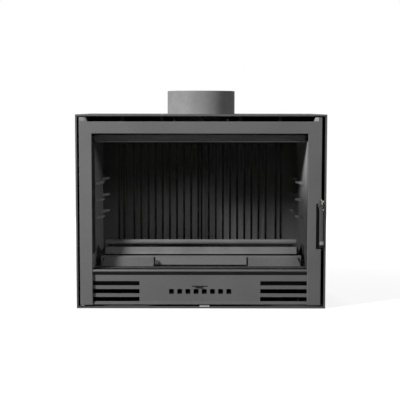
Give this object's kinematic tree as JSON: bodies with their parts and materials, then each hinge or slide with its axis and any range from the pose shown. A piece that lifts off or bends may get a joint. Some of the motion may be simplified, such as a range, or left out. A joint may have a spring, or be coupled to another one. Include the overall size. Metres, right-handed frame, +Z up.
{
  "type": "fireplace insert",
  "caption": "Wood-burning fireplace insert: sheet casing, lined firebox, glazed side-hinged door with lever latch, air shutter, ash pan and a round flue collar.",
  "frame": {"origin": "on the floor, under the middle of the flue collar", "axes": "+Z up along the flue, +X to the right seen from the front, -Y towards the viewer and the opening door"},
  "size_m": [0.7, 0.456, 0.613],
  "materials": {
    "casing_paint": "fine matt heat-resistant paint",
    "door_paint": "matt anthracite stove paint on cast iron",
    "collar_iron": "matt stove paint on cast iron",
    "firebox_steel": "matt black heat-resistant paint",
    "liner_iron": "unpolished cast iron",
    "hearth_iron": "painted cast iron",
    "baffle_board": "pressed vermiculite",
    "stove_glass": "clear ceramic glass",
    "ceramic_tape": "woven ceramic tape",
    "seal_rope": "braided glass-fibre rope",
    "zinc_steel": "zinc-plated steel",
    "shutter_steel": "black painted sheet",
    "handle_iron": "satin black",
    "ferrule_nickel": "satin nickel",
    "hook_chrome": "bright chrome",
    "tab_steel": "bare steel"
  },
  "bodies": {
    "insert_body": {"casing_left_side": "casing_paint", "casing_right_side": "casing_paint", "casing_top": "casing_paint", "casing_base": "casing_paint", "casing_back": "casing_paint", "convection_outlet_grille": "casing_paint", "collar_trim_ring": "casing_paint", "flue_collar": "collar_iron", "firebox_front_frame": "firebox_steel", "firebox_left_wall": "firebox_steel", "firebox_right_wall": "firebox_steel", "firebox_back_wall": "firebox_steel", "firebox_roof": "firebox_steel", "firebox_base_plate": "firebox_steel", "primary_air_box": "firebox_steel", "left_support_rail": "firebox_steel", "right_support_rail": "firebox_steel", "rear_spacers": "firebox_steel", "frame_side_ties": "firebox_steel", "upper_hinge_bracket": "firebox_steel", "lower_hinge_bracket": "firebox_steel", "left_side_liner": "liner_iron", "right_side_liner": "liner_iron", "rear_liner": "liner_iron", "hearth_plate": "hearth_iron", "grate_rails": "hearth_iron", "grate_bars": "hearth_iron", "retainer_slat": "hearth_iron", "retainer_bar": "hearth_iron", "retainer_posts": "hearth_iron", "upper_deflector": "hearth_iron", "baffle_plate": "baffle_board", "collar_bolts": "zinc_steel", "upper_hinge_pin": "zinc_steel", "lower_hinge_pin": "zinc_steel", "hinge_thrust_washer": "zinc_steel", "latch_keeper": "hook_chrome", "sill_tab": "tab_steel"},
    "door": {"door_frame": "door_paint", "door_glass": "stove_glass", "glass_tape": "ceramic_tape", "glass_clips": "zinc_steel", "glass_clip_screws": "zinc_steel", "door_rope_seal": "seal_rope", "vent_panel": "door_paint", "vent_panel_screws": "zinc_steel", "register_guides": "firebox_steel"},
    "handle": {"handle_lever": "handle_iron", "handle_ferrule": "ferrule_nickel", "handle_end_cap": "handle_iron", "handle_shaft": "handle_iron", "handle_nut": "zinc_steel", "latch_hook": "hook_chrome"},
    "air_shutter": {"air_register": "shutter_steel"},
    "ash_pan": {"ash_pan_tray": "firebox_steel", "ash_pan_walls": "firebox_steel", "ash_pan_front": "hearth_iron", "ash_pan_pull": "hearth_iron"}
  },
  "joints": [
    {"name": "door_hinge", "type": "hinge", "parent": "insert_body", "child": "door", "pos_m": [-0.333, -0.22, 0.27], "axis": [0, 0, -1], "range_deg": [0, 105]},
    {"name": "handle_pivot", "type": "hinge", "parent": "door", "child": "handle", "pos_m": [0.332, -0.228, 0.292], "axis": [0, -1, 0], "range_deg": [0, 85]},
    {"name": "shutter_slide", "type": "slide", "parent": "door", "child": "air_shutter", "axis": [1, 0, 0], "range_m": [0, 0.0115]},
    {"name": "ash_pan_slide", "type": "slide", "parent": "insert_body", "child": "ash_pan", "axis": [0, -1, 0], "range_m": [0, 0.25]}
  ],
  "couplings": [
    {"joint": "ash_pan_slide", "follows": "door_hinge", "m_per_rad": 0.136}
  ]
}
